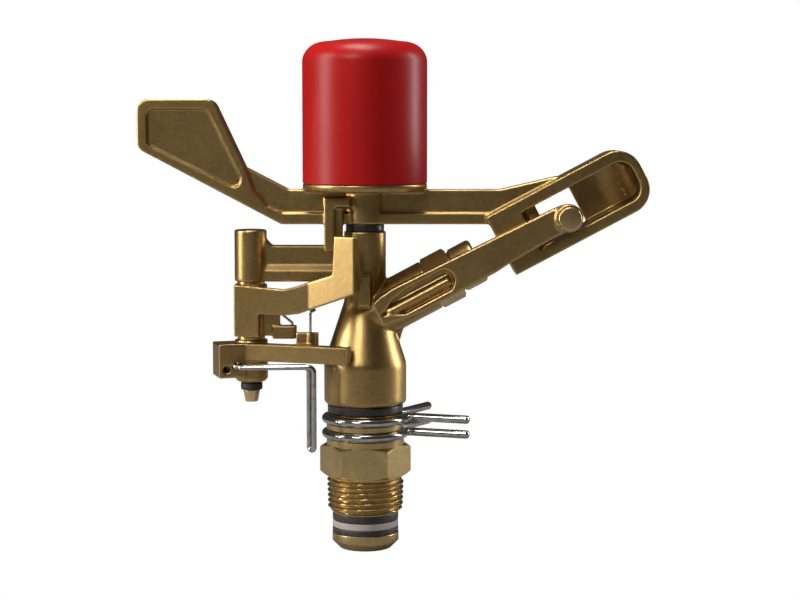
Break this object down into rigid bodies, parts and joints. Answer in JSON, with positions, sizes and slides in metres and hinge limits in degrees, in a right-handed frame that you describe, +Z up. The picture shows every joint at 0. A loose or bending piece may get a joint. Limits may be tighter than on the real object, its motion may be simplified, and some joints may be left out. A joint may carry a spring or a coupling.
{
  "type": "impact sprinkler",
  "caption": "Part-circle brass impact sprinkler head: threaded inlet, turning body with inclined nozzle, spring arm with spoon under a red cap, reversing levers and wire stops.",
  "frame": {"origin": "on the inlet thread's axis, at the underside of the inlet hexagon", "axes": "+Z up the turning axis, +X the way the water jet leaves seen from above, -Y the front with the bridge and jet breaker pin"},
  "size_m": [0.1721, 0.0498, 0.1739],
  "materials": {
    "cast_brass": "satin",
    "machined_brass": "satin",
    "red_plastic": "gloss",
    "black_rubber": "matt",
    "black_washer": "satin",
    "white_ptfe": "matt",
    "white_plastic": "matt",
    "stainless_wire": "polished",
    "stainless_bar": "polished"
  },
  "bodies": {
    "inlet": {"inlet_nipple": "machined_brass", "upper_seal_washer": "black_rubber", "slip_washer": "white_ptfe", "lower_seal_washer": "black_rubber", "dust_washer": "black_washer", "bearing_spring": "stainless_wire", "spring_seat_washer": "machined_brass"},
    "head": {"bearing_tube": "machined_brass", "sprinkler_body": "cast_brass", "nozzle": "machined_brass", "stream_straightener": "white_plastic", "arm_washer": "black_washer", "arm_shaft": "stainless_bar", "spring_holder": "machined_brass", "shaft_nut": "machined_brass", "pivot_pin": "machined_brass", "pivot_retaining_ring": "black_rubber", "upper_pivot_washer": "machined_brass", "lower_pivot_washer": "machined_brass"},
    "arm": {"impact_arm": "cast_brass", "lower_arm_bush": "white_plastic", "upper_arm_bush": "white_plastic", "spring_cap": "red_plastic", "arm_spring": "stainless_wire"},
    "reversing": {"reversing_lever": "cast_brass"},
    "trip": {"trip_lever": "cast_brass", "trip_wire": "stainless_wire", "toggle_spring": "stainless_wire"},
    "upper_stop": {"upper_collar": "stainless_wire"},
    "lower_stop": {"lower_collar": "stainless_wire"},
    "jet_breaker": {"jet_breaker_pin": "machined_brass"}
  },
  "joints": [
    {"name": "head_swivel", "type": "hinge", "parent": "inlet", "child": "head", "pos_m": [0, 0, 0.03], "axis": [0, 0, 1], "range_deg": [-150, 130]},
    {"name": "arm_swing", "type": "hinge", "parent": "head", "child": "arm", "pos_m": [0, 0, 0.09], "axis": [0, 0, 1], "range_deg": [0, 95], "stiffness_Nm_per_rad": 0.05, "springref_deg": -45.84, "deforming": ["arm_spring"]},
    {"name": "trip_swing", "type": "hinge", "parent": "head", "child": "trip", "pos_m": [-0.0389, 0, 0.045], "axis": [0, 0, 1], "range_deg": [-28, 0], "deforming": ["toggle_spring"]},
    {"name": "reversing_swing", "type": "hinge", "parent": "head", "child": "reversing", "pos_m": [-0.0389, 0, 0.06], "axis": [0, 0, 1], "range_deg": [0, 10]},
    {"name": "upper_collar_turn", "type": "hinge", "parent": "inlet", "child": "upper_stop", "pos_m": [0, 0, 0.0195], "axis": [0, 0, 1], "range_deg": [-130, 150]},
    {"name": "lower_collar_turn", "type": "hinge", "parent": "inlet", "child": "lower_stop", "pos_m": [0, 0, 0.0144], "axis": [0, 0, 1], "range_deg": [-130, 150]},
    {"name": "jet_breaker_slide", "type": "slide", "parent": "head", "child": "jet_breaker", "axis": [0, 1, 0], "range_m": [-0.004, 0]}
  ],
  "couplings": [
    {"joint": "reversing_swing", "follows": "trip_swing", "ratio": -0.35714}
  ]
}
